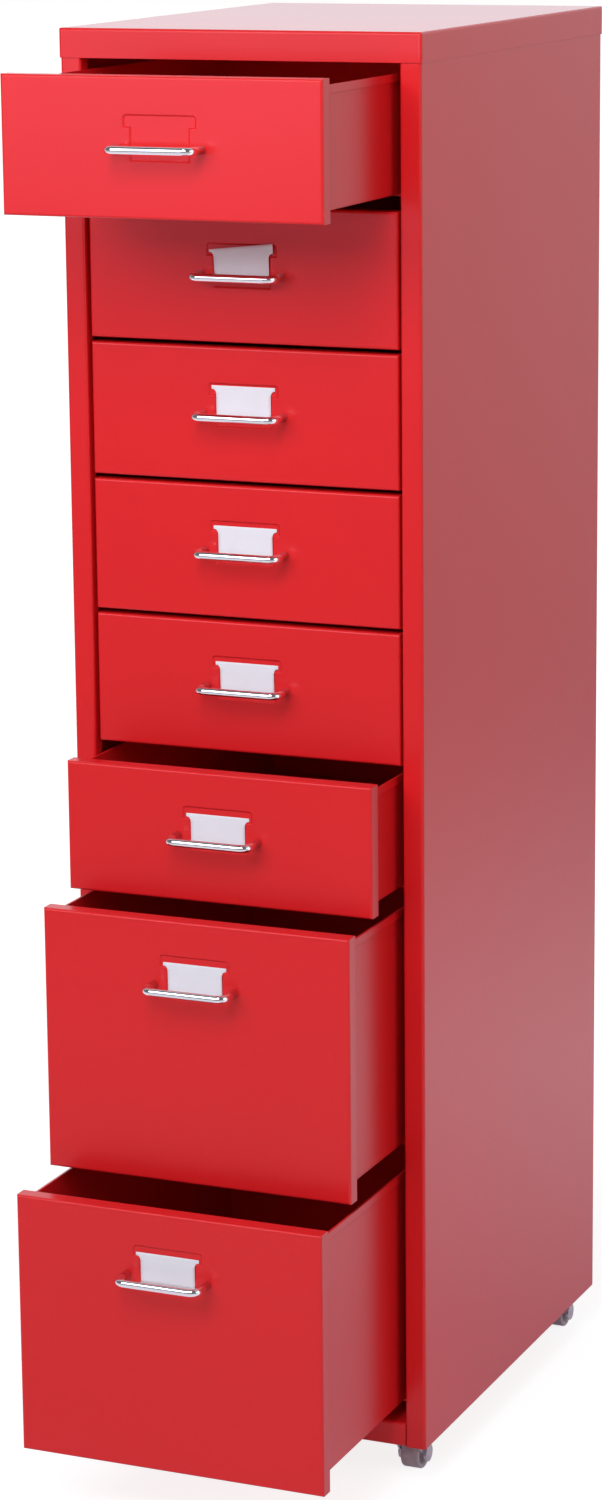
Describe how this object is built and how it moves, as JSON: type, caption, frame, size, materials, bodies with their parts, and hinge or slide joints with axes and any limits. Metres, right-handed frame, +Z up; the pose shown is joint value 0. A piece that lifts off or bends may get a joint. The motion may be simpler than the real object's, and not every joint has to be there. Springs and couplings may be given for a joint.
{
  "type": "multi-drawer cabinet",
  "caption": "Tall narrow sheet steel cabinet on small swivel castors, with a stack of shallow drawers over deeper ones, wire handles and label card recesses.",
  "frame": {"origin": "on the floor, at the middle of the footprint with the drawers pulled out as in the rest pose", "axes": "+Z up, +Y from the front to the back, +X to the right of someone facing the drawers"},
  "size_m": [0.28, 0.5548, 1.0802],
  "materials": {
    "red_paint": "semi-gloss",
    "chrome_wire": "polished",
    "card_paper": "matte",
    "castor_metal": "satin",
    "wheel_plastic": "satin"
  },
  "bodies": {
    "cabinet": {"top_panel": "red_paint", "left_side_panel": "red_paint", "right_side_panel": "red_paint", "back_panel": "red_paint", "bottom_panel": "red_paint", "castor_rails": "red_paint", "castor_plates": "castor_metal", "runners": "red_paint"},
    "drawer_1": {"drawer_1_front": "red_paint", "drawer_1_tray": "red_paint", "drawer_1_handle": "chrome_wire"},
    "drawer_2": {"drawer_2_front": "red_paint", "drawer_2_tray": "red_paint", "drawer_2_handle": "chrome_wire", "drawer_2_card": "card_paper"},
    "drawer_3": {"drawer_3_front": "red_paint", "drawer_3_tray": "red_paint", "drawer_3_handle": "chrome_wire", "drawer_3_card": "card_paper"},
    "drawer_4": {"drawer_4_front": "red_paint", "drawer_4_tray": "red_paint", "drawer_4_handle": "chrome_wire", "drawer_4_card": "card_paper"},
    "drawer_5": {"drawer_5_front": "red_paint", "drawer_5_tray": "red_paint", "drawer_5_handle": "chrome_wire", "drawer_5_card": "card_paper"},
    "drawer_6": {"drawer_6_front": "red_paint", "drawer_6_tray": "red_paint", "drawer_6_handle": "chrome_wire", "drawer_6_card": "card_paper"},
    "drawer_7": {"drawer_7_front": "red_paint", "drawer_7_tray": "red_paint", "drawer_7_handle": "chrome_wire", "drawer_7_card": "card_paper"},
    "drawer_8": {"drawer_8_front": "red_paint", "drawer_8_tray": "red_paint", "drawer_8_handle": "chrome_wire", "drawer_8_card": "card_paper"},
    "fork_front_left": {"fork_front_left": "castor_metal"},
    "wheel_front_left": {"wheel_front_left": "wheel_plastic"},
    "fork_front_right": {"fork_front_right": "castor_metal"},
    "wheel_front_right": {"wheel_front_right": "wheel_plastic"},
    "fork_rear_left": {"fork_rear_left": "castor_metal"},
    "wheel_rear_left": {"wheel_rear_left": "wheel_plastic"},
    "fork_rear_right": {"fork_rear_right": "castor_metal"},
    "wheel_rear_right": {"wheel_rear_right": "wheel_plastic"}
  },
  "joints": [
    {"name": "drawer_1_slide", "type": "slide", "parent": "cabinet", "child": "drawer_1", "axis": [0, -1, 0], "range_m": [-0.1336, 0.1564]},
    {"name": "drawer_2_slide", "type": "slide", "parent": "cabinet", "child": "drawer_2", "axis": [0, -1, 0], "range_m": [0, 0.29]},
    {"name": "drawer_3_slide", "type": "slide", "parent": "cabinet", "child": "drawer_3", "axis": [0, -1, 0], "range_m": [0, 0.29]},
    {"name": "drawer_4_slide", "type": "slide", "parent": "cabinet", "child": "drawer_4", "axis": [0, -1, 0], "range_m": [0, 0.29]},
    {"name": "drawer_5_slide", "type": "slide", "parent": "cabinet", "child": "drawer_5", "axis": [0, -1, 0], "range_m": [0, 0.29]},
    {"name": "drawer_6_slide", "type": "slide", "parent": "cabinet", "child": "drawer_6", "axis": [0, -1, 0], "range_m": [-0.0555, 0.2345]},
    {"name": "drawer_7_slide", "type": "slide", "parent": "cabinet", "child": "drawer_7", "axis": [0, -1, 0], "range_m": [-0.0992, 0.1908]},
    {"name": "drawer_8_slide", "type": "slide", "parent": "cabinet", "child": "drawer_8", "axis": [0, -1, 0], "range_m": [-0.1536, 0.1364]},
    {"name": "swivel_front_left", "type": "hinge", "parent": "cabinet", "child": "fork_front_left", "pos_m": [-0.114, -0.07385, 0.0335], "axis": [0, 0, 1], "continuous": true},
    {"name": "roll_front_left", "type": "hinge", "parent": "fork_front_left", "child": "wheel_front_left", "pos_m": [-0.114, -0.06035, 0.0125], "axis": [1, 0, 0], "continuous": true},
    {"name": "swivel_front_right", "type": "hinge", "parent": "cabinet", "child": "fork_front_right", "pos_m": [0.114, -0.07385, 0.0335], "axis": [0, 0, 1], "continuous": true},
    {"name": "roll_front_right", "type": "hinge", "parent": "fork_front_right", "child": "wheel_front_right", "pos_m": [0.114, -0.06035, 0.0125], "axis": [1, 0, 0], "continuous": true},
    {"name": "swivel_rear_left", "type": "hinge", "parent": "cabinet", "child": "fork_rear_left", "pos_m": [-0.114, 0.24715, 0.0335], "axis": [0, 0, 1], "continuous": true},
    {"name": "roll_rear_left", "type": "hinge", "parent": "fork_rear_left", "child": "wheel_rear_left", "pos_m": [-0.114, 0.26065, 0.0125], "axis": [1, 0, 0], "continuous": true},
    {"name": "swivel_rear_right", "type": "hinge", "parent": "cabinet", "child": "fork_rear_right", "pos_m": [0.114, 0.24715, 0.0335], "axis": [0, 0, 1], "continuous": true},
    {"name": "roll_rear_right", "type": "hinge", "parent": "fork_rear_right", "child": "wheel_rear_right", "pos_m": [0.114, 0.26065, 0.0125], "axis": [1, 0, 0], "continuous": true}
  ]
}
